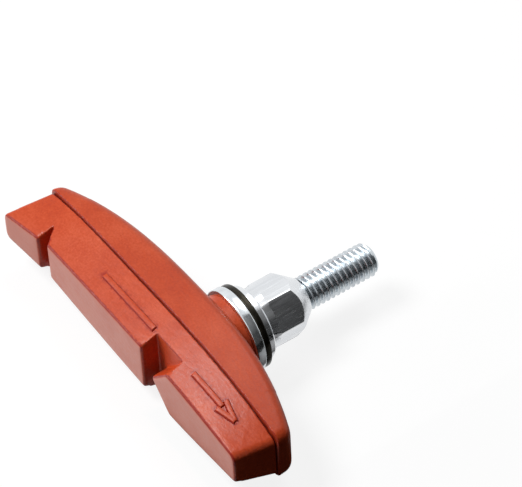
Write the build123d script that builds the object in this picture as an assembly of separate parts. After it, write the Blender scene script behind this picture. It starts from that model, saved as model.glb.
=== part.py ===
from build123d import *
import os

# Bicycle rim brake pad with a threaded stud, in millimetres.
# X runs along the pad, +Y along the stud from the braking face to the stud's tip, Z up.
# The shapes are drawn with Y = 0 on the pad's parting line and the stud on the Y axis;
# the last step moves them so that the origin is in the middle of the stud's free thread.

os.makedirs("parts", exist_ok=True)

# friction block, in front of the parting line
FACE_Y = -7.0
FLARE_Y = -8.45
WEAR_Y = -3.75
BLOCK_DEEP = -9.5
BLOCK_LEFT_BACK = -40.0
BLOCK_LEFT_FRONT = -42.0
BLOCK_RIGHT_BACK = 25.5
BLOCK_RIGHT_FRONT = 23.7
LEFT_ROUND = 1.0
RIGHT_TOP_ROUND = 1.5
RIGHT_LOW_ROUND = 0.4
CUT_HALF = 15.0
TINY = 0.01

# half heights of the block along X, at the parting line and at the braking face
SIDE_X = (-41.9, -33.0, -17.0, -3.5, 4.6, 14.6, 25.2)
SIDE_BACK = (4.6, 6.1, 7.2, 7.7, 7.7, 6.8, 3.95)
SIDE_FACE = (3.25, 3.85, 4.7, 5.05, 5.0, 4.25, 3.2)

# V groove near the left end and the plough groove by the stud
VEE_WALL = -33.2
VEE_FAR = -30.9
PLOUGH_WALL = -2.4
PLOUGH_TIP = -0.1
PLOUGH_SHOULDER = 4.7
PLOUGH_RISE = 5.2

# body, behind the parting line
LIP = 0.35
BODY_LEFT = -40.6
BODY_RIGHT = 26.0
BODY_SPARE = 2.5
BODY_REACH = 9.6
LEFT_END_DEPTH = 2.1
RIGHT_END_DEPTH = 2.7
BACK_X = (-21.0, -5.0, 8.5)
BACK_DEPTH = (6.6, 7.2, 6.8)
BODY_CORNER_ROUND = 2.2
BACK_ROUND = 2.0
BOSS_R = 7.0
SEAT_Y = 8.7

# moulded-in steel strip and the stud it carries
PLATE_X = (-30.0, 15.0)
PLATE_Y = (2.4, 4.0)
PLATE_HALF = 4.0
PLATE_CORNER = 1.5
HEAD_R = 4.6
HEAD_Y = 1.0
SHANK_R = 2.68
THREAD_R = 2.98
THREAD_START = 23.05
THREAD_END = 35.65
TIP_Y = 36.45
TIP_R = 2.25

# hardware on the stud
HOLE_R = 3.0
WASHER_R = 7.65
WASHER_Y = (SEAT_Y, 10.5)
WASHER_ROUND = 0.25
LOCK_STEP = 0.15
LOCK_R = WASHER_R - LOCK_STEP
LOCK_HOLE_R = 3.02
LOCK_Y = (WASHER_Y[1], 11.6)
LOCK_SPLIT = 0.7
LOCK_SPLIT_TURN = 62.0
FLANGE_R = 6.6
NUT_Y = (LOCK_Y[1], 22.3)
FLANGE_TOP = 13.05
FLANGE_CHAMFER = 0.3
NECK_R = 5.25
NECK_RISE = 0.4
HEX_START = 14.8
HEX_FLATS = 10.0
HEX_CORNER_R = HEX_FLATS / 3**0.5
HEX_TURN = -10.0
NOSE_START = 19.1
NOSE_TIP_R = 3.25

ORIGIN_Y = (THREAD_START + THREAD_END) / 2


def side_profile(y, left, right, heights):
    """Lens-shaped face in the plane Y = y with straight ends."""
    top = [Vector(x, y, h) for x, h in zip(SIDE_X, heights)]
    top[0] = Vector(left, y, heights[0])
    top[-1] = Vector(right, y, heights[-1])
    low = [Vector(p.X, p.Y, -p.Z) for p in reversed(top)]
    edges = [
        Spline(*top),
        Line(top[-1], low[0]),
        Spline(*low),
        Line(low[-1], top[0]),
    ]
    return make_face(edges)


def plan_prism(points, half):
    """Prism along Z from a closed outline in the XY plane."""
    outline = make_face(Polyline(*[(x, y, -half) for x, y in points], close=True))
    return extrude(outline, amount=2 * half, dir=(0, 0, 1))


def disc(radius, y0, y1):
    """Cylinder on the stud's axis from y0 to y1."""
    plane = Plane(origin=(0, y0, 0), x_dir=(1, 0, 0), z_dir=(0, 1, 0))
    return extrude(plane * Circle(radius), amount=y1 - y0)


def turned(points):
    """Solid turned about the stud's axis from (radius, y) points."""
    outline = make_face(Polyline(*[(r, y, 0) for r, y in points], close=True))
    return revolve(outline, axis=Axis((0, 0, 0), (0, 1, 0)), revolution_arc=360)


def between(low, high, share):
    """Values part of the way from one row to another."""
    return [a + (b - a) * share for a, b in zip(low, high)]


def near(edge, other):
    """Whether two edges have the same middle."""
    return (edge.center() - other.center()).length < TINY


# friction block: drafted lens, trimmed to its plan outline and grooved
deep = BLOCK_DEEP / FACE_Y
block = loft(
    [
        side_profile(0, BLOCK_LEFT_BACK, BLOCK_RIGHT_BACK, SIDE_BACK),
        side_profile(
            BLOCK_DEEP,
            BLOCK_LEFT_BACK + (BLOCK_LEFT_FRONT - BLOCK_LEFT_BACK) * deep,
            BLOCK_RIGHT_BACK + (BLOCK_RIGHT_FRONT - BLOCK_RIGHT_BACK) * deep,
            between(SIDE_BACK, SIDE_FACE, deep),
        ),
    ],
    ruled=True,
)
corners = block.edges().filter_by(lambda e: abs(e.center().Z) > TINY and e.length < 2 * -BLOCK_DEEP)
left_corners = corners.filter_by(lambda e: e.center().X < 0)
right_top = corners.filter_by(lambda e: e.center().X > 0 and e.center().Z > 0)
right_low = corners.filter_by(lambda e: e.center().X > 0 and e.center().Z < 0)
block = fillet(left_corners, LEFT_ROUND)
block = block.fillet(RIGHT_TOP_ROUND, block.edges().filter_by(lambda e: near(e, right_top[0])))
block = block.fillet(RIGHT_LOW_ROUND, block.edges().filter_by(lambda e: near(e, right_low[0])))
block &= plan_prism(
    [
        (SIDE_X[0] - CUT_HALF, 0),
        (SIDE_X[-1] + CUT_HALF, 0),
        (SIDE_X[-1] + CUT_HALF, FACE_Y),
        (VEE_FAR, FACE_Y),
        (BLOCK_LEFT_FRONT, FLARE_Y),
        (SIDE_X[0] - CUT_HALF, FLARE_Y),
    ],
    CUT_HALF,
)
vee_slope = (VEE_FAR - VEE_WALL) / (WEAR_Y - FACE_Y)
block -= plan_prism(
    [
        (VEE_WALL, WEAR_Y),
        (VEE_WALL, BLOCK_DEEP),
        (VEE_WALL + vee_slope * (WEAR_Y - BLOCK_DEEP), BLOCK_DEEP),
    ],
    CUT_HALF,
)
plough = make_face(
    Polyline(
        (PLOUGH_WALL, BLOCK_DEEP, CUT_HALF),
        (PLOUGH_WALL, BLOCK_DEEP, -CUT_HALF),
        (PLOUGH_SHOULDER, BLOCK_DEEP, -CUT_HALF),
        (PLOUGH_SHOULDER, BLOCK_DEEP, -PLOUGH_RISE),
        (PLOUGH_TIP, BLOCK_DEEP, 0),
        (PLOUGH_SHOULDER, BLOCK_DEEP, PLOUGH_RISE),
        (PLOUGH_SHOULDER, BLOCK_DEEP, CUT_HALF),
        close=True,
    )
)
block -= extrude(plough, amount=WEAR_Y - BLOCK_DEEP, dir=(0, 1, 0))

# body: lens behind the parting line, bowed back, rounded edges, round boss for the washer
lens = side_profile(
    0,
    BODY_LEFT - BODY_SPARE,
    BODY_RIGHT + BODY_SPARE,
    [h + LIP for h in SIDE_BACK],
)
body = extrude(lens, amount=BODY_REACH, dir=(0, 1, 0))
back_line = [
    (BODY_LEFT, LEFT_END_DEPTH),
    *zip(BACK_X, BACK_DEPTH),
    (BODY_RIGHT, RIGHT_END_DEPTH),
]
bow = make_face(
    [
        Line((BODY_RIGHT, 0, -CUT_HALF), (BODY_LEFT, 0, -CUT_HALF)),
        Line((BODY_LEFT, 0, -CUT_HALF), (*back_line[0], -CUT_HALF)),
        Spline(*[(x, y, -CUT_HALF) for x, y in back_line]),
        Line((*back_line[-1], -CUT_HALF), (BODY_RIGHT, 0, -CUT_HALF)),
    ]
)
body &= extrude(bow, amount=2 * CUT_HALF, dir=(0, 0, 1))
uprights = body.edges().filter_by(Axis.Z).filter_by(lambda e: e.center().Y > TINY)
body = fillet(uprights, BODY_CORNER_ROUND)
rims = body.edges().filter_by(lambda e: e.center().Y > TINY and abs(e.center().Z) > TINY)
body = fillet(rims, BACK_ROUND)
body += disc(BOSS_R, PLATE_Y[1], SEAT_Y)

# steel strip, stud and the hardware on it
plate = Pos((PLATE_X[0] + PLATE_X[1]) / 2, (PLATE_Y[0] + PLATE_Y[1]) / 2, 0) * Box(
    PLATE_X[1] - PLATE_X[0], PLATE_Y[1] - PLATE_Y[0], 2 * PLATE_HALF
)
plate = fillet(plate.edges().filter_by(Axis.Y), PLATE_CORNER)
plate -= disc(SHANK_R, *PLATE_Y)
stud = turned(
    [
        (0, HEAD_Y),
        (HEAD_R, HEAD_Y),
        (HEAD_R, PLATE_Y[0]),
        (SHANK_R, PLATE_Y[0]),
        (SHANK_R, THREAD_START),
        (THREAD_R, THREAD_START),
        (THREAD_R, THREAD_END),
        (TIP_R, TIP_Y),
        (0, TIP_Y),
    ]
)
washer = disc(WASHER_R, *WASHER_Y)
washer = fillet(washer.edges(), WASHER_ROUND)
washer -= disc(HOLE_R, *WASHER_Y)
lock = disc(LOCK_R, *LOCK_Y) - disc(LOCK_HOLE_R, *LOCK_Y)
split = Pos(LOCK_R, (LOCK_Y[0] + LOCK_Y[1]) / 2, 0) * Box(2 * LOCK_R, 2 * (LOCK_Y[1] - LOCK_Y[0]), LOCK_SPLIT)
lock -= split.rotate(Axis.Y, LOCK_SPLIT_TURN)
hex_plane = Plane(origin=(0, FLANGE_TOP, 0), x_dir=(1, 0, 0), z_dir=(0, 1, 0))
hexagon = hex_plane * RegularPolygon(HEX_FLATS / 2, 6, major_radius=False, rotation=HEX_TURN)
hexed = extrude(hexagon, amount=NUT_Y[1] - FLANGE_TOP)
hexed &= turned(
    [
        (0, FLANGE_TOP),
        (NECK_R, FLANGE_TOP),
        (NECK_R, HEX_START - NECK_RISE),
        (HEX_CORNER_R, HEX_START),
        (HEX_CORNER_R, NOSE_START),
        (NOSE_TIP_R, NUT_Y[1]),
        (0, NUT_Y[1]),
    ]
)
nut = turned(
    [
        (0, NUT_Y[0]),
        (FLANGE_R - FLANGE_CHAMFER, NUT_Y[0]),
        (FLANGE_R, NUT_Y[0] + FLANGE_CHAMFER),
        (FLANGE_R, FLANGE_TOP - FLANGE_CHAMFER),
        (FLANGE_R - FLANGE_CHAMFER, FLANGE_TOP),
        (NECK_R + NECK_RISE, FLANGE_TOP),
        (NECK_R, FLANGE_TOP + NECK_RISE),
        (NECK_R, HEX_START),
        (0, HEX_START),
    ]
)
nut += hexed
nut -= disc(HOLE_R, *NUT_Y)

# one moulded piece of rubber around the strip and the stud
pad = block + body
pad -= plate
pad -= turned(
    [
        (0, HEAD_Y),
        (HEAD_R, HEAD_Y),
        (HEAD_R, PLATE_Y[0]),
        (SHANK_R, PLATE_Y[0]),
        (SHANK_R, SEAT_Y),
        (0, SEAT_Y),
    ]
)

NODES = {
    "brake_pad": pad,
    "backing_plate": plate,
    "stud": stud,
    "seat_washer": washer,
    "lock_washer": lock,
    "flange_nut": nut,
}
for name, shape in NODES.items():
    solids = shape.solids()
    whole = solids[0] if len(solids) == 1 else Compound(solids)
    export_step(Pos(0, -ORIGIN_Y, 0) * whole, f"parts/{name}.step")
    box = whole.bounding_box()
    print(name, len(solids), "solid", round(whole.volume, 1), "mm3", box.min, box.max)
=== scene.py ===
"""Looks for the bicycle rim brake pad: moulded red rubber, zinc-plated hardware, white studio."""

import math

import bmesh
import bpy
from mathutils import Matrix, Vector
from mathutils import noise as flow
from mathutils.bvhtree import BVHTree


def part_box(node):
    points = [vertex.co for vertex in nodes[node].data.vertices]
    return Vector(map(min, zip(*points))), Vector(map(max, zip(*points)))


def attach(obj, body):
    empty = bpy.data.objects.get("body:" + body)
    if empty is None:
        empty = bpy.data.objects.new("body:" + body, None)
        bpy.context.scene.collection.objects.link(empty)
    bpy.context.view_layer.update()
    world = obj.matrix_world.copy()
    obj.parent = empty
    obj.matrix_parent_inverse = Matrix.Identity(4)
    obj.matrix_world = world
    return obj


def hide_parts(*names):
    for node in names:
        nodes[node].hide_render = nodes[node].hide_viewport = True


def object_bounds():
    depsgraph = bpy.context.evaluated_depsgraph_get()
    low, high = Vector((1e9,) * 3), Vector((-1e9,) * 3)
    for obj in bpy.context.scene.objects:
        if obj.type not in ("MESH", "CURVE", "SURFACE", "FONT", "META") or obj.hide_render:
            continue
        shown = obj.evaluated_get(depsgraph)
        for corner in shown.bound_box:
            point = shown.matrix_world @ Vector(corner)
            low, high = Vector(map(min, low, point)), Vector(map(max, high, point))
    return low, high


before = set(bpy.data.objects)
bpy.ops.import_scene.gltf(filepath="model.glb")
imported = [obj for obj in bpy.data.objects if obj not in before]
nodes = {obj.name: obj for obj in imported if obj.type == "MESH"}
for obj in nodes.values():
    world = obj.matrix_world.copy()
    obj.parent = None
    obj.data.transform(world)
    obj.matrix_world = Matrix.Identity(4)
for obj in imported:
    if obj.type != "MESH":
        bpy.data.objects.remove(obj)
cad_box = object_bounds()
scene = bpy.context.scene
scene.view_settings.view_transform = "Standard"

# Meshes are worked in millimetres and scaled to metres when they are finished
MM = 0.001
MERGE = 0.001
FULL_TURN = 2 * math.pi
WHITE = (1, 1, 1, 1)


def span_y(name):
    low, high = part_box(name)
    return low.y / MM, high.y / MM


def radius_of(name):
    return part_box(name)[1].x / MM


# Where things stand along the stud, whose axis is X = Z = 0 with its tip towards +Y
PARTING_Y = -29.35
WASHER_Y = span_y("seat_washer")
LOCK_Y = span_y("lock_washer")
NUT_Y = span_y("flange_nut")
STUD_Y = span_y("stud")
PLATE_Y = span_y("backing_plate")


# Camera at the photograph's angle

CAMERA_AT = (304.6, -206.63, 416.65)
CAMERA_AZIMUTH = 57.703
CAMERA_ELEVATION = 47.933
CAMERA_ROLL = -3.105
CAMERA_LENS = 233.36
CAMERA_CLIP = (0.01, 50)
SENSOR = 36


def add_camera():
    azimuth = math.radians(CAMERA_AZIMUTH)
    elevation = math.radians(CAMERA_ELEVATION)
    roll = math.radians(CAMERA_ROLL)
    flat = math.cos(elevation)
    back = Vector((flat * math.sin(azimuth), -flat * math.cos(azimuth), math.sin(elevation)))
    level = Vector((math.cos(azimuth), math.sin(azimuth), 0))
    rise = back.cross(level)
    right = level * math.cos(roll) + rise * math.sin(roll)
    up = back.cross(right)
    data = bpy.data.cameras.new("camera")
    data.sensor_width = SENSOR
    data.lens = CAMERA_LENS
    data.clip_start, data.clip_end = CAMERA_CLIP
    camera = bpy.data.objects.new("camera", data)
    turn = Matrix((right, up, back)).transposed().to_4x4()
    camera.matrix_world = Matrix.Translation(Vector(CAMERA_AT) * MM) @ turn
    scene.collection.objects.link(camera)
    scene.camera = camera


# Shader node helpers

def new_material(name):
    material = bpy.data.materials.new(name)
    material.use_nodes = True
    tree = material.node_tree
    return material, tree, tree.nodes["Principled BSDF"]


def object_coordinates(tree):
    return tree.nodes.new("ShaderNodeTexCoord").outputs["Object"]


def stretched(tree, where, scale):
    made = tree.nodes.new("ShaderNodeMapping")
    made.inputs["Scale"].default_value = scale
    tree.links.new(where, made.inputs["Vector"])
    return made.outputs["Vector"]


def noise(tree, where, scale, detail):
    made = tree.nodes.new("ShaderNodeTexNoise")
    made.inputs["Scale"].default_value = scale
    made.inputs["Detail"].default_value = detail
    tree.links.new(where, made.inputs["Vector"])
    return made.outputs["Fac"]


def ramp(tree, value, stops):
    made = tree.nodes.new("ShaderNodeValToRGB")
    elements = made.color_ramp.elements
    while len(elements) < len(stops):
        elements.new(0.5)
    for element, (place, colour) in zip(elements, stops):
        element.position = place
        element.color = (*colour, 1)
    tree.links.new(value, made.inputs["Fac"])
    return made.outputs["Color"]


def spread(tree, value, source, target):
    made = tree.nodes.new("ShaderNodeMapRange")
    made.inputs["From Min"].default_value = source[0]
    made.inputs["From Max"].default_value = source[1]
    made.inputs["To Min"].default_value = target[0]
    made.inputs["To Max"].default_value = target[1]
    tree.links.new(value, made.inputs["Value"])
    return made.outputs["Result"]


def math_node(tree, operation, first, second=None, value=None):
    made = tree.nodes.new("ShaderNodeMath")
    made.operation = operation
    tree.links.new(first, made.inputs[0])
    if second is not None:
        tree.links.new(second, made.inputs[1])
    if value is not None:
        made.inputs[1].default_value = value
    return made.outputs[0]


# Places of a Mix node's colour sockets, whose names its other kinds share
MIX_FROM = 6
MIX_TO = 7
MIX_RESULT = 2


def tinted(tree, colour, mask, tint):
    made = tree.nodes.new("ShaderNodeMix")
    made.data_type = "RGBA"
    tree.links.new(mask, made.inputs["Factor"])
    tree.links.new(colour, made.inputs[MIX_FROM])
    made.inputs[MIX_TO].default_value = (*tint, 1)
    return made.outputs[MIX_RESULT]


def bump(tree, height, strength, distance, normal=None):
    made = tree.nodes.new("ShaderNodeBump")
    made.inputs["Strength"].default_value = strength
    made.inputs["Distance"].default_value = distance
    tree.links.new(height, made.inputs["Height"])
    if normal is not None:
        tree.links.new(normal, made.inputs["Normal"])
    return made.outputs["Normal"]


def attribute(tree, name):
    made = tree.nodes.new("ShaderNodeAttribute")
    made.attribute_name = name
    return made.outputs["Fac"]


# Grain that every finish shares: a slow cloud and a fine speck

GRAIN_INPUTS = (("Vector", "NodeSocketVector"),
                ("Cloud Scale", "NodeSocketFloat"),
                ("Speck Scale", "NodeSocketFloat"))
GRAIN_DETAIL = (("Cloud", 4), ("Speck", 2))
GRAIN_SPAN = (0.3, 0.7)


def grain_group():
    group = bpy.data.node_groups.new("surface_grain", "ShaderNodeTree")
    for name, kind in GRAIN_INPUTS:
        group.interface.new_socket(name, in_out="INPUT", socket_type=kind)
    for name, _ in GRAIN_DETAIL:
        group.interface.new_socket(name, in_out="OUTPUT", socket_type="NodeSocketFloat")
    given = group.nodes.new("NodeGroupInput")
    taken = group.nodes.new("NodeGroupOutput")
    for name, detail in GRAIN_DETAIL:
        fac = noise(group, given.outputs["Vector"], 1, detail)
        group.links.new(given.outputs[name + " Scale"], fac.node.inputs["Scale"])
        group.links.new(fac, taken.inputs[name])
    return group


SURFACE_GRAIN = grain_group()


def grain(tree, where, cloud_scale, speck_scale):
    made = tree.nodes.new("ShaderNodeGroup")
    made.node_tree = SURFACE_GRAIN
    made.inputs["Cloud Scale"].default_value = cloud_scale
    made.inputs["Speck Scale"].default_value = speck_scale
    tree.links.new(where, made.inputs["Vector"])
    return made.outputs["Cloud"], made.outputs["Speck"]


# Moulded rubber

RUBBER_DEEP = (0.45, 0.042, 0.010)
RUBBER = (0.55, 0.065, 0.016)
RUBBER_PALE = (0.66, 0.108, 0.040)
# Painted shade along the braking faces' top edges and in the creases round the raised marks
RUBBER_EDGE_SHADE = (0.32, 0.014, 0.003)
# Painted shadow of the body's lip along the pressed parting groove
RUBBER_SEAM_SHADOW = (0.11, 0.003, 0.001)
# Painted reflection of the white floor on the braking faces
RUBBER_FLOOR_REFLECTION = (0.72, 0.27, 0.205)
RUBBER_STOPS = ((0.1, RUBBER_DEEP), (0.5, RUBBER), (0.9, RUBBER_PALE))
RUBBER_GRAIN = (140, 2600)
RUBBER_ROUGH = (0.28, 0.42)
RUBBER_SPECULAR = 0.26
CLOUD_SHARE = (0.16, 0.54)
SPECK_SHARE = (0, 0.30)
FLOOR_REFLECTION_SHARE = (0.72, 1)
WRINKLE_SCALE = (500, 1400, 1400)
WRINKLE_DETAIL = 3

# Strength and height in metres of the bumps
WRINKLE_BUMP = (0.4, 0.00015)
SPECK_BUMP = (0.3, 0.00007)
STEEL_BUMP = (0.15, 0.00002)


def rubber_material():
    material, tree, shader = new_material("moulded_rubber")
    where = object_coordinates(tree)
    cloud, speck = grain(tree, where, *RUBBER_GRAIN)
    slow = spread(tree, cloud, GRAIN_SPAN, CLOUD_SHARE)
    fine = spread(tree, speck, GRAIN_SPAN, SPECK_SHARE)
    blended = math_node(tree, "ADD", slow, fine)
    colour = ramp(tree, blended, RUBBER_STOPS)
    # Painted reflection of the white floor on the braking faces, made patchy by the cloud
    patchy = spread(tree, cloud, GRAIN_SPAN, FLOOR_REFLECTION_SHARE)
    floor_reflection = math_node(tree, "MULTIPLY", attribute(tree, "floor_reflection"), patchy)
    colour = tinted(tree, colour, floor_reflection, RUBBER_FLOOR_REFLECTION)
    # Painted shade on the braking faces' top edges, in the creases round the marks and down the marks'
    # sides
    colour = tinted(tree, colour, attribute(tree, "edge"), RUBBER_EDGE_SHADE)
    # Painted shadow along the parting line
    colour = tinted(tree, colour, attribute(tree, "seam_shadow"), RUBBER_SEAM_SHADOW)
    tree.links.new(colour, shader.inputs["Base Color"])
    tree.links.new(spread(tree, speck, GRAIN_SPAN, RUBBER_ROUGH), shader.inputs["Roughness"])
    shader.inputs["Specular IOR Level"].default_value = RUBBER_SPECULAR
    drawn = noise(tree, stretched(tree, where, WRINKLE_SCALE), 1, WRINKLE_DETAIL)
    wrinkled = bump(tree, drawn, *WRINKLE_BUMP)
    tree.links.new(bump(tree, speck, *SPECK_BUMP, wrinkled), shader.inputs["Normal"])
    return material


# Plated and blackened steel: dark and pale tone, roughness, and the grain's scale along each axis

EVEN = (1, 1, 1)
ALONG_STUD = (1, 0.06, 1)
ALONG_STRIP = (0.1, 1, 1)
STEEL_GRAIN = (500, 3600)
STEELS = {
    "zinc_plate": ((0.64, 0.68, 0.71), (0.77, 0.81, 0.84), (0.12, 0.24), EVEN),
    "zinc_rolled": ((0.50, 0.54, 0.58), (0.64, 0.69, 0.72), (0.18, 0.30), EVEN),
    "zinc_drawn": ((0.66, 0.68, 0.71), (0.80, 0.82, 0.84), (0.14, 0.30), ALONG_STUD),
    "black_oxide": ((0.015, 0.013, 0.010), (0.04, 0.036, 0.028), (0.25, 0.4), EVEN),
    "plate_steel": ((0.4, 0.4, 0.41), (0.55, 0.55, 0.56), (0.3, 0.45), ALONG_STRIP),
}


def steel_material(name):
    dark, pale, rough, scale = STEELS[name]
    material, tree, shader = new_material(name)
    where = stretched(tree, object_coordinates(tree), scale)
    cloud, speck = grain(tree, where, *STEEL_GRAIN)
    tree.links.new(ramp(tree, cloud, tuple(zip(GRAIN_SPAN, (dark, pale)))), shader.inputs["Base Color"])
    shader.inputs["Metallic"].default_value = 1
    tree.links.new(spread(tree, speck, GRAIN_SPAN, rough), shader.inputs["Roughness"])
    tree.links.new(bump(tree, speck, *STEEL_BUMP), shader.inputs["Normal"])
    return material


# Mesh helpers

BEVEL_SEGMENTS = 2
SMOOTH_FACTOR = 0.5


def in_mm(mesh):
    bm = bmesh.new()
    bm.from_mesh(mesh)
    bmesh.ops.scale(bm, verts=bm.verts, vec=(1 / MM, 1 / MM, 1 / MM))
    return bm


def into_mesh(bm, mesh):
    bmesh.ops.scale(bm, verts=bm.verts, vec=(MM, MM, MM))
    bm.to_mesh(mesh)
    bm.free()


def closed(bm):
    """Merges doubles, fills open rims and turns every face outwards."""
    bmesh.ops.remove_doubles(bm, verts=bm.verts, dist=MERGE)
    rims = [edge for edge in bm.edges if edge.is_boundary]
    bmesh.ops.holes_fill(bm, edges=rims, sides=0)
    bmesh.ops.recalc_face_normals(bm, faces=bm.faces)


def join_into(bm, part):
    """Adds a finished part to a bigger mesh."""
    made = bpy.data.meshes.new("part")
    part.to_mesh(made)
    part.free()
    bm.from_mesh(made)
    bpy.data.meshes.remove(made)


def new_piece(name, bm, material, smooth_angle=None):
    mesh = bpy.data.meshes.new(name)
    into_mesh(bm, mesh)
    if smooth_angle is not None:
        mesh.shade_smooth()
        mesh.set_sharp_from_angle(angle=math.radians(smooth_angle))
    piece = bpy.data.objects.new(name, mesh)
    piece.data.materials.append(material)
    scene.collection.objects.link(piece)
    return piece


def dress(piece, body, replaced=None):
    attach(piece, body)
    if replaced:
        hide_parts(replaced)


def bevelled(bm, edges, width):
    bmesh.ops.bevel(bm, geom=edges, offset=width, affect="EDGES", segments=BEVEL_SEGMENTS,
                    profile=0.5, material=-1)


def turned(bm, points, steps, angle=FULL_TURN, looped=False):
    """Turns a line of (radius, y) points about the stud's axis."""
    verts = [bm.verts.new((radius, y, 0)) for radius, y in points]
    edges = [bm.edges.new(pair) for pair in zip(verts, verts[1:])]
    if looped:
        edges.append(bm.edges.new((verts[-1], verts[0])))
    whole = angle == FULL_TURN
    bmesh.ops.spin(bm, geom=verts + edges, cent=(0, 0, 0), axis=(0, 1, 0), angle=angle, steps=steps,
                   use_merge=whole)


# Raised marks on the block's top, in plan: the wear line and the arrow for the wheel's turn

LINE_WIDTH = 0.75
HEAD_WIDTH = 0.70
WEAR_LINE = (((-18.05, -32.97), (-3.4, -32.97), LINE_WIDTH),)
ARROW = (((7.95, -33.02), (15.6, -32.77), LINE_WIDTH),
         ((15.3, -31.85), (18.95, -32.62), HEAD_WIDTH),
         ((15.3, -33.62), (18.95, -32.62), HEAD_WIDTH))
MARKS = (("mark_wear_line", WEAR_LINE), ("mark_arrow", ARROW))
MARK_HEIGHT = 0.32
MARK_ROOT = 0.12
MARK_ROUND = 0.10
MARK_SLOPE = 0.22
MARK_STEP = 0.5
MARK_ABOVE = 30
MARK_SMOOTH = 40
# Width in plan of the painted shade in the crease round the marks' feet
CREASE = (0.02, 0.24)
CREASE_FACING = 0.6


def mark_gap(point):
    """Distance in plan from the foot of the nearest raised stroke."""
    gaps = []
    plan = Vector((point.x, point.y))
    for start, end, width in WEAR_LINE + ARROW:
        start = Vector(start)
        run = Vector(end) - start
        along = min(max((plan - start).dot(run) / run.length_squared, 0), 1)
        gaps.append(abs((plan - start - run * along).length - width / 2 - MARK_SLOPE / 2))
    return min(gaps)


# Moulded pad: one skin over the solid, with its edges softened as they leave the mould

PAD_VOXEL = 0.13
PAD_SOFTEN = 10
PAD_TRIANGLES = 195000
NUDGE = 0.02
FOOT_R = (6.7, 7.9)
FOOT_RISE = 3
FOOT_CLEAR = 0.75
FOOT_Y = (PARTING_Y + FOOT_RISE, WASHER_Y[0] - FOOT_CLEAR)
FOOT_SOFTEN = 4
EDGE_Y = PARTING_Y - 5.8
EDGE_SOFTEN = 40
LIP_CLEAR = 0.5
ENDS_X = (-34, 18)
END_SOFTEN = 70
GROOVE_Y = PARTING_Y - 0.06
GROOVE_HALF = 0.22
GROOVE_DEEP = 0.36
SEAM_HALF = 0.20
SEAM_WAVE = 0.05
SEAM_PITCH = 0.9
PIN_X = (-22, 13.5)
PIN_R = 2.6
PIN_HALF = 0.26
PIN_DEEP = 0.14
PIN_FACING = 0.8
FACE_Y = PARTING_Y - 6.6
FACE_FACING = (0.93, 0.99)
# Facing and bend of the skin that get the painted edge shade
EDGE_FACING = (0.40, 0.55, 0.90, 0.97)
EDGE_CURVE = (0.08, 0.35)


def share(value, low, high):
    """Smooth step from 0 at low to 1 at high."""
    part = min(max((value - low) / (high - low), 0), 1)
    return part * part * (3 - 2 * part)


def inside(point, low, high):
    return all(a / MM - NUDGE <= v <= b / MM + NUDGE for v, a, b in zip(point, low, high))


def closed_pad():
    """Copy of the solid without the pocket of the steel strip and stud."""
    bm = in_mm(nodes["brake_pad"].data)
    bmesh.ops.remove_doubles(bm, verts=bm.verts, dist=MERGE)
    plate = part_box("backing_plate")
    head_r = radius_of("stud") + NUDGE
    hidden = []
    for face in bm.faces:
        middle = face.calc_center_median()
        by_stud = math.hypot(middle.x, middle.z) < head_r
        by_stud = by_stud and STUD_Y[0] - NUDGE < middle.y < WASHER_Y[0] - NUDGE
        if by_stud or inside(middle, *plate):
            hidden.append(face)
    bmesh.ops.delete(bm, geom=hidden, context="FACES")
    closed(bm)
    return bm


def evaluated(piece):
    graph = bpy.context.evaluated_depsgraph_get()
    return bpy.data.meshes.new_from_object(piece.evaluated_get(graph))


def seam_off(point):
    """Distance from the slightly ragged parting line, measured along the stud."""
    ragged = flow.noise(Vector((point.x * SEAM_PITCH, 0, math.copysign(1, point.z))))
    return abs(point.y - GROOVE_Y - SEAM_WAVE * ragged)


def press_groove(bm):
    """Sinks the line where the two halves of the mould met."""
    for vert in bm.verts:
        off = seam_off(vert.co)
        if off < GROOVE_HALF:
            outward = Vector((vert.normal.x, 0, vert.normal.z)).normalized()
            vert.co -= outward * GROOVE_DEEP * share(GROOVE_HALF - off, 0, GROOVE_HALF)


def press_pins(bm):
    """Rings that the pins which push the pad out of its mould leave on its back."""
    for vert in bm.verts:
        if vert.normal.y < PIN_FACING:
            continue
        for x in PIN_X:
            off = abs(math.hypot(vert.co.x - x, vert.co.z) - PIN_R)
            if off < PIN_HALF:
                vert.co.y -= PIN_DEEP * share(PIN_HALF - off, 0, PIN_HALF)


def at_foot(point):
    radius = math.hypot(point.x, point.z)
    return FOOT_R[0] < radius < FOOT_R[1] and FOOT_Y[0] < point.y < FOOT_Y[1]


def at_face(point):
    return point.y < EDGE_Y


def at_end(point):
    return point.y > PARTING_Y + LIP_CLEAR and not ENDS_X[0] < point.x < ENDS_X[1]


def soften(bm, chosen, times):
    """Rounds one part of the skin further than the rest."""
    verts = [vert for vert in bm.verts if chosen(vert.co)]
    for _ in range(times):
        bmesh.ops.smooth_vert(bm, verts=verts, factor=SMOOTH_FACTOR,
                              use_axis_x=True, use_axis_y=True, use_axis_z=True)


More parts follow.
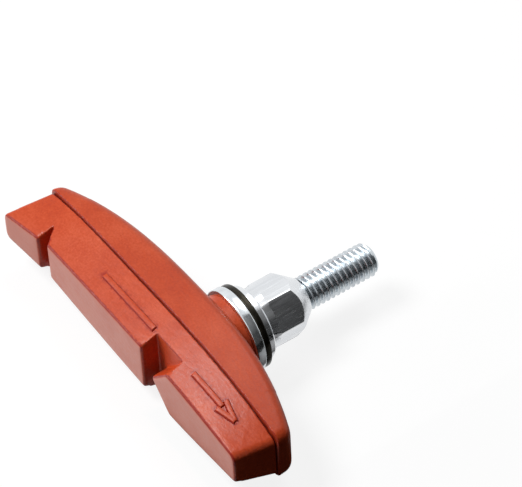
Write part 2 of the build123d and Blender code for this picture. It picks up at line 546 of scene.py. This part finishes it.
def mark_skin(bm):
    """Writes where the painted shadow along the parting line, the painted shade on the braking faces'
    top edges and round the marks' feet, and the painted reflection of the white floor on the braking
    faces fall.
    """
    seam_shadow = bm.verts.layers.float.new("seam_shadow")
    edge = bm.verts.layers.float.new("edge")
    floor_reflection = bm.verts.layers.float.new("floor_reflection")
    for vert in bm.verts:
        # Painted shadow along the parting line, beside the pressed groove
        vert[seam_shadow] = share(SEAM_HALF - seam_off(vert.co), 0, SEAM_HALF)
        front = -vert.normal.y
        # Painted reflection of the white floor, on faces looking along -Y at the braking end
        vert[floor_reflection] = share(front, *FACE_FACING) if vert.co.y < FACE_Y else 0
        # Painted shade on the convex top edges of the braking faces, where neither the floor's
        # reflection nor the highlight falls
        bend = [e.calc_face_angle_signed(0) / max(e.calc_length(), NUDGE) for e in vert.link_edges]
        between = share(front, *EDGE_FACING[:2]) * (1 - share(front, *EDGE_FACING[2:]))
        vert[edge] = between * share(sum(bend) / len(bend), *EDGE_CURVE)
        # Painted shade in the crease round each raised mark
        if vert.normal.z > CREASE_FACING:
            vert[edge] = max(vert[edge], 1 - share(mark_gap(vert.co), *CREASE))


def add_pad(material):
    piece = new_piece("pad_rubber_skin", closed_pad(), material)
    remesh = piece.modifiers.new("skin", "REMESH")
    remesh.mode = "VOXEL"
    remesh.voxel_size = PAD_VOXEL * MM
    smooth = piece.modifiers.new("smooth", "SMOOTH")
    smooth.factor = SMOOTH_FACTOR
    smooth.iterations = PAD_SOFTEN
    skin = evaluated(piece)
    piece.modifiers.clear()
    bm = in_mm(skin)
    press_groove(bm)
    press_pins(bm)
    soften(bm, at_foot, FOOT_SOFTEN)
    soften(bm, at_face, EDGE_SOFTEN)
    soften(bm, at_end, END_SOFTEN)
    triangles = sum(len(face.verts) - 2 for face in bm.faces)
    into_mesh(bm, skin)
    piece.data = skin
    thin = piece.modifiers.new("thin", "DECIMATE")
    thin.ratio = min(1, PAD_TRIANGLES / triangles)
    skin = evaluated(piece)
    piece.modifiers.clear()
    piece.data = skin
    bm = in_mm(skin)
    mark_skin(bm)
    ground = BVHTree.FromBMesh(bm)
    into_mesh(bm, skin)
    skin.materials.clear()
    skin.materials.append(material)
    skin.shade_smooth()
    dress(piece, "pad", "brake_pad")
    return ground


# Raised strokes, seated on the pad's skin

def add_stroke(bm, start, end, width):
    """A bar with a rounded top between two points in plan, standing on Z = 0."""
    start = Vector((*start, 0))
    end = Vector((*end, 0))
    run = end - start
    stroke = bmesh.new()
    bmesh.ops.create_cube(stroke, size=1)
    bmesh.ops.scale(stroke, verts=stroke.verts, vec=(run.length, width, MARK_HEIGHT + MARK_ROOT))
    bmesh.ops.translate(stroke, verts=stroke.verts, vec=(0, 0, (MARK_HEIGHT - MARK_ROOT) / 2))
    for vert in stroke.verts:
        if vert.co.z < 0:
            vert.co.x += math.copysign(MARK_SLOPE, vert.co.x)
            vert.co.y += math.copysign(MARK_SLOPE, vert.co.y)
    top = [edge for edge in stroke.edges if all(vert.co.z > 0 for vert in edge.verts)]
    bevelled(stroke, top, MARK_ROUND)
    lengthways = []
    for edge in stroke.edges:
        if abs(edge.verts[0].co.x - edge.verts[1].co.x) > run.length / 2:
            lengthways.append(edge)
    cuts = int(run.length / MARK_STEP)
    bmesh.ops.subdivide_edges(stroke, edges=lengthways, cuts=cuts, use_grid_fill=True)
    turn = run.to_track_quat("X", "Z").to_matrix().to_4x4()
    bmesh.ops.transform(stroke, verts=stroke.verts, matrix=Matrix.Translation((start + end) / 2) @ turn)
    bmesh.ops.recalc_face_normals(stroke, faces=stroke.faces)
    join_into(bm, stroke)


def seat_on(bm, ground):
    """Lowers every point onto the surface under it."""
    for vert in bm.verts:
        hit = ground.ray_cast(Vector((vert.co.x, vert.co.y, MARK_ABOVE)), Vector((0, 0, -1)))[0]
        vert.co.z += hit.z


def shade_mark_sides(bm):
    """Paints shade on a mark's sides, darker towards its foot, like the painted shade on the skin's top
    edges.
    """
    edge = bm.verts.layers.float.new("edge")
    for vert in bm.verts:
        vert[edge] = share(MARK_HEIGHT - vert.co.z, 0, MARK_ROUND)


def add_marks(ground, material):
    for name, strokes in MARKS:
        bm = bmesh.new()
        for stroke in strokes:
            add_stroke(bm, *stroke)
        shade_mark_sides(bm)
        seat_on(bm, ground)
        dress(new_piece(name, bm, material, MARK_SMOOTH), "pad")


# Stud: flat head and plain neck inside the rubber, rolled thread beyond

PITCH = 1.0
CREST_R = 2.98
ROOT_R = 2.37
NECK_R = 2.66
THREAD_STEPS = 48
THREAD_MERGE = 4 * MERGE
SPARE_TURNS = 2
STUD_SMOOTH = 40
TURN_STEPS = 96
TIP_R = 2.25
TIP_RUN = 0.8
TIP_NEAR = 0.02
DIMPLE = ((1.7, 0.0), (1.55, 0.08), (1.2, 0.24), (0.7, 0.36), (0.25, 0.4))
HEAD_ROUND = 0.3
THREAD_PROFILE = ((0.0, 0.0), (0.07, 0.0), (0.25, 0.45), (0.42, 0.95), (0.46, 1.0),
                  (0.54, 1.0), (0.58, 0.95), (0.75, 0.45), (0.93, 0.0), (1.0, 0.0))


def sink_dimple(bm):
    """Steps the open rim at the stud's tip inwards, ring by ring, into a shallow cup."""
    rim = []
    for edge in bm.edges:
        if edge.is_boundary and all(abs(vert.co.y - STUD_Y[1]) < TIP_NEAR for vert in edge.verts):
            rim.append(edge)
    for radius, deep in DIMPLE:
        made = bmesh.ops.extrude_edge_only(bm, edges=rim)["geom"]
        for vert in made:
            if isinstance(vert, bmesh.types.BMVert):
                shrink = radius / math.hypot(vert.co.x, vert.co.z)
                vert.co = (vert.co.x * shrink, STUD_Y[1] - deep, vert.co.z * shrink)
        rim = [edge for edge in made if isinstance(edge, bmesh.types.BMEdge) and edge.is_boundary]


def add_thread(bm):
    """Spins one turn's outline up the stud, trims both ends and tapers the tip."""
    start = WASHER_Y[0] - SPARE_TURNS * PITCH
    turns = math.ceil((STUD_Y[1] - start) / PITCH) + SPARE_TURNS
    deep = CREST_R - ROOT_R
    verts = []
    for along, height in THREAD_PROFILE:
        verts.append(bm.verts.new((ROOT_R + deep * height, start + along * PITCH, 0)))
    edges = [bm.edges.new(pair) for pair in zip(verts, verts[1:])]
    bmesh.ops.spin(bm, geom=verts + edges, cent=(0, 0, 0), axis=(0, 1, 0),
                   dvec=(0, PITCH / THREAD_STEPS, 0),
                   angle=FULL_TURN * turns, steps=THREAD_STEPS * turns)
    bmesh.ops.remove_doubles(bm, verts=bm.verts, dist=THREAD_MERGE)
    for level, side in ((WASHER_Y[0], -1), (STUD_Y[1], 1)):
        bmesh.ops.bisect_plane(bm, geom=bm.verts[:] + bm.edges[:] + bm.faces[:], dist=MERGE,
                               plane_co=(0, level, 0), plane_no=(0, side, 0), clear_outer=True)
    for vert in bm.verts:
        vert.co.y = min(vert.co.y, STUD_Y[1])
        radius = math.hypot(vert.co.x, vert.co.z)
        limit = TIP_R + (STUD_Y[1] - vert.co.y) * (CREST_R - TIP_R) / TIP_RUN
        if radius > limit:
            vert.co.x *= limit / radius
            vert.co.z *= limit / radius
    sink_dimple(bm)
    closed(bm)


def add_stud(material):
    bm = bmesh.new()
    add_thread(bm)
    head_r = radius_of("stud")
    neck = bmesh.new()
    neck_end = WASHER_Y[0] + NUDGE
    profile = ((0, STUD_Y[0]), (head_r - HEAD_ROUND, STUD_Y[0]), (head_r, STUD_Y[0] + HEAD_ROUND),
               (head_r, PLATE_Y[0]), (NECK_R, PLATE_Y[0]), (NECK_R, neck_end), (0, neck_end))
    turned(neck, profile, TURN_STEPS)
    closed(neck)
    join_into(bm, neck)
    dress(new_piece("stud_thread", bm, material, STUD_SMOOTH), "pad", "stud")


# Washers

WASHER_HOLE_R = 3.0
WASHER_EDGE = 0.25
LOCK_EDGE = 0.14
LOCK_SPLIT = 0.7
LOCK_SPLIT_TURN = 62.0
INNER_EDGE = 0.1
ROUND_SHARE = 0.3
WASHER_SMOOTH = 50


def ring_profile(outer, low, high, edge):
    """(radius, y) points round a washer's section, its outer edges rounded."""
    inner = WASHER_HOLE_R
    corner = edge * ROUND_SHARE
    return ((inner + INNER_EDGE, low), (outer - edge, low), (outer - corner, low + corner),
            (outer, low + edge), (outer, high - edge), (outer - corner, high - corner),
            (outer - edge, high), (inner + INNER_EDGE, high),
            (inner, high - INNER_EDGE), (inner, low + INNER_EDGE))


def add_washers(zinc, black):
    plain = bmesh.new()
    section = ring_profile(radius_of("seat_washer"), *WASHER_Y, WASHER_EDGE)
    turned(plain, section, TURN_STEPS, looped=True)
    closed(plain)
    dress(new_piece("washer_zinc", plain, zinc, WASHER_SMOOTH), "pad", "seat_washer")
    lock_r = radius_of("lock_washer")
    gap = LOCK_SPLIT / lock_r
    split = bmesh.new()
    section = ring_profile(lock_r, *LOCK_Y, LOCK_EDGE)
    turned(split, section, TURN_STEPS, FULL_TURN - gap, looped=True)
    closed(split)
    turn = Matrix.Rotation(math.radians(LOCK_SPLIT_TURN) + gap / 2, 3, "Y")
    bmesh.ops.rotate(split, verts=split.verts, cent=(0, 0, 0), matrix=turn)
    piece = new_piece("washer_lock", split, black, WASHER_SMOOTH)
    dress(piece, "lock_washer", "lock_washer")


# Nut: round flange and neck, six flats, and a cone that trims the far end

NUT_SIDES = 6
NUT_COLUMNS = 72
NUT_SMOOTH = 30
FLANGE_HIGH = 1.45
FLANGE_CHAMFER = 0.3
COLLAR_R = 5.25
COLLAR_RISE = 0.4
HEX_START = 3.2
HEX_FLATS = 10.0
HEX_CORNER = HEX_FLATS / math.sqrt(3)
HEX_TURN = 10.0
NOSE_START = 7.5
NOSE_R = 3.25
NUT_HOLE_R = 3.0
NUT_BREAK = 0.1

# Which points of a column are the lower and upper ends of a flat
FLAT_LOW = 9
FLAT_HIGH = 10


def hex_radius(column):
    """Distance from the axis to the six-sided outline, whose first corner is at column 0."""
    sixth = FULL_TURN / NUT_SIDES
    angle = (column * FULL_TURN / NUT_COLUMNS) % sixth - sixth / 2
    return HEX_FLATS / 2 / math.cos(angle)


def nut_column(column):
    """(radius, y) points up one side of the nut, from the hole's lower rim to its upper one."""
    reach = hex_radius(column)
    flange = radius_of("flange_nut")
    height = NUT_Y[1] - NUT_Y[0]
    collar_y = HEX_START - COLLAR_RISE
    proud = max(reach - COLLAR_R, 0)
    nose = NOSE_START + (HEX_CORNER - reach) * (height - NOSE_START) / (HEX_CORNER - NOSE_R)
    return (
        (NUT_HOLE_R, 0),
        (flange - FLANGE_CHAMFER, 0),
        (flange, FLANGE_CHAMFER),
        (flange, FLANGE_HIGH - FLANGE_CHAMFER),
        (flange - FLANGE_CHAMFER, FLANGE_HIGH),
        (COLLAR_R + COLLAR_RISE, FLANGE_HIGH),
        (COLLAR_R, FLANGE_HIGH + COLLAR_RISE),
        (COLLAR_R + proud, collar_y + COLLAR_RISE * proud / (HEX_CORNER - COLLAR_R)),
        (max(reach, COLLAR_R), HEX_START),
        (reach, HEX_START),
        (reach, nose),
        (NOSE_R, height),
        (NUT_HOLE_R, height),
    )


def nut_mesh():
    """Raises a ring of columns row by row, sets each point, and breaks the hexagon's edges."""
    bm = bmesh.new()
    columns = [nut_column(i) for i in range(NUT_COLUMNS)]
    first = bmesh.ops.create_circle(bm, segments=NUT_COLUMNS, radius=1)["verts"]
    loop = bm.edges[:]
    rows = [first]
    for _ in columns[0][1:]:
        made = bmesh.ops.extrude_edge_only(bm, edges=loop)["geom"]
        loop = []
        for part in made:
            if isinstance(part, bmesh.types.BMEdge) and part.is_boundary:
                if all(vert not in rows[-1] for vert in part.verts):
                    loop.append(part)
        above = {}
        for edge in bm.edges:
            low, high = edge.verts
            for near, far in ((low, high), (high, low)):
                if near in rows[-1] and far not in rows[-1] and far in made:
                    above[near] = far
        rows.append([above[vert] for vert in rows[-1]])
    turn = math.radians(HEX_TURN)
    for level, row in enumerate(rows):
        for column, vert in enumerate(row):
            radius, y = columns[column][level]
            angle = turn + column * FULL_TURN / NUT_COLUMNS
            vert.co = (radius * math.cos(angle), NUT_Y[0] + y, radius * math.sin(angle))
    bmesh.ops.bridge_loops(bm, edges=[edge for edge in bm.edges if edge.is_boundary])
    corners = rows[FLAT_LOW][::NUT_COLUMNS // NUT_SIDES]
    ends = rows[FLAT_HIGH]
    sharp = []
    for edge in bm.edges:
        low, high = edge.verts
        if low in ends and high in ends:
            sharp.append(edge)
        elif (low in corners and high in ends) or (high in corners and low in ends):
            sharp.append(edge)
    bevelled(bm, sharp, NUT_BREAK)
    closed(bm)
    return bm


def add_nut(material):
    piece = new_piece("nut_flanged", nut_mesh(), material, NUT_SMOOTH)
    dress(piece, "nut", "flange_nut")


# Studio

FLOOR_DROP = 0.05
FLOOR_Z = cad_box[0][2] / MM - FLOOR_DROP
FLOOR_HALF = 3000
FLOOR_CELLS = 4
FLOOR_TONE = 0.18
FLOOR_GLOW = 0.85
WORLD_LEVEL = 0.07
MATT = 0.9


def seen_rays(tree):
    """1 for rays from the camera and for mirrored or refracted ones, else 0."""
    path = tree.nodes.new("ShaderNodeLightPath")
    total = path.outputs["Is Camera Ray"]
    for other in ("Is Glossy Ray", "Is Transmission Ray"):
        total = math_node(tree, "MAXIMUM", total, path.outputs[other])
    return total


def add_floor():
    bm = bmesh.new()
    bmesh.ops.create_grid(bm, x_segments=FLOOR_CELLS, y_segments=FLOOR_CELLS, size=FLOOR_HALF)
    bmesh.ops.translate(bm, verts=bm.verts, vec=(0, 0, FLOOR_Z))
    material, tree, shader = new_material("floor_white")
    shader.inputs["Base Color"].default_value = (FLOOR_TONE, FLOOR_TONE, FLOOR_TONE, 1)
    shader.inputs["Roughness"].default_value = MATT
    shader.inputs["Specular IOR Level"].default_value = 0
    shader.inputs["Emission Color"].default_value = WHITE
    glow = math_node(tree, "MULTIPLY", seen_rays(tree), value=FLOOR_GLOW)
    tree.links.new(glow, shader.inputs["Emission Strength"])
    new_piece("floor", bm, material)


def add_world():
    world = bpy.data.worlds.new("studio")
    world.use_nodes = True
    tree = world.node_tree
    background = tree.nodes["Background"]
    background.inputs["Color"].default_value = WHITE
    strength = spread(tree, seen_rays(tree), (0, 1), (WORLD_LEVEL, 1))
    tree.links.new(strength, background.inputs["Strength"])
    scene.world = world


# Disc lamps, in metres and watts: name, place, width and power
LAMP_AIM = (-0.005, -0.02, 0)
LAMPS = (("key", (-0.18, -0.23, 0.46), 0.22, 1.95),
         ("top", (-0.30, 0.45, 0.80), 0.6, 2.6),
         ("front", (-0.58, -0.72, 0.22), 0.4, 2.8))


def add_lamp(name, at, size, power):
    place = Vector(at)
    turn = (place - Vector(LAMP_AIM)).to_track_quat("Z", "Y").to_matrix().to_4x4()
    data = bpy.data.lights.new(name, "AREA")
    data.shape = "DISK"
    data.size = size
    data.energy = power
    lamp = bpy.data.objects.new(name, data)
    lamp.matrix_world = Matrix.Translation(place) @ turn
    scene.collection.objects.link(lamp)


# Dark cards that the camera doesn't see: a curved one at the side, and flat ones on the floor that are
# a painted shadow of the object, seen only in reflections and bounce light

CARD_R = 500
CARD_Y = (-150, 650)
CARD_RISE = 78
CARD_STEPS = 16
CARD_CELLS = 2

# Tones of the side card, and the heights in metres between which it goes from one to the other
CARD_TONES = (0.15, 0.9)
CARD_LEVELS = (0.22, 0.48)

# Tone of each flat card of painted shadow, and its reach along X and along Y
FLOOR_SHADOW_CARDS = ((0.01, (28, 500), (-300, 300)),
               (0.01, (0, 28), (-38, -19)),
               (0.45, (8, 28), (-19, 60)))
FLOOR_CARD_LIFT = 0.4


def card_material(name, tones):
    """Matt grey that goes from one tone to the other as it rises."""
    material, tree, shader = new_material(name)
    split = tree.nodes.new("ShaderNodeSeparateXYZ")
    tree.links.new(object_coordinates(tree), split.inputs["Vector"])
    rise = spread(tree, split.outputs["Z"], CARD_LEVELS, (0, 1))
    stops = [(place, (tone, tone, tone)) for place, tone in zip((0, 1), tones)]
    tree.links.new(ramp(tree, rise, stops), shader.inputs["Base Color"])
    shader.inputs["Roughness"].default_value = MATT
    shader.inputs["Specular IOR Level"].default_value = 0
    return material


def add_card(name, bm, material, diffuse):
    card = new_piece(name, bm, material)
    card.visible_camera = False
    card.visible_shadow = False
    card.visible_diffuse = diffuse


def add_cards():
    side = bmesh.new()
    ends = [side.verts.new((CARD_R, y, FLOOR_Z)) for y in CARD_Y]
    line = side.edges.new(ends)
    bmesh.ops.spin(side, geom=ends + [line], cent=(0, 0, FLOOR_Z), axis=(0, -1, 0),
                   angle=math.radians(CARD_RISE), steps=CARD_STEPS)
    add_card("card_side", side, card_material("card_side", CARD_TONES), False)
    for tone, across, along in FLOOR_SHADOW_CARDS:
        flat = bmesh.new()
        bmesh.ops.create_grid(flat, x_segments=CARD_CELLS, y_segments=CARD_CELLS, size=0.5)
        bmesh.ops.scale(flat, verts=flat.verts, vec=(across[1] - across[0], along[1] - along[0], 1))
        middle = (sum(across) / 2, sum(along) / 2, FLOOR_Z + FLOOR_CARD_LIFT)
        bmesh.ops.translate(flat, verts=flat.verts, vec=middle)
        name = f"floor_shadow_card_{across[0]}"
        add_card(name, flat, card_material(name, (tone, tone)), True)


# Everything in order

add_camera()
add_floor()
add_world()
for lamp in LAMPS:
    add_lamp(*lamp)
add_cards()

rubber = rubber_material()
steels = {name: steel_material(name) for name in STEELS}

ground = add_pad(rubber)
add_marks(ground, rubber)
add_stud(steels["zinc_rolled"])
add_washers(steels["zinc_plate"], steels["black_oxide"])
add_nut(steels["zinc_drawn"])
nodes["backing_plate"].data.materials.clear()
nodes["backing_plate"].data.materials.append(steels["plate_steel"])
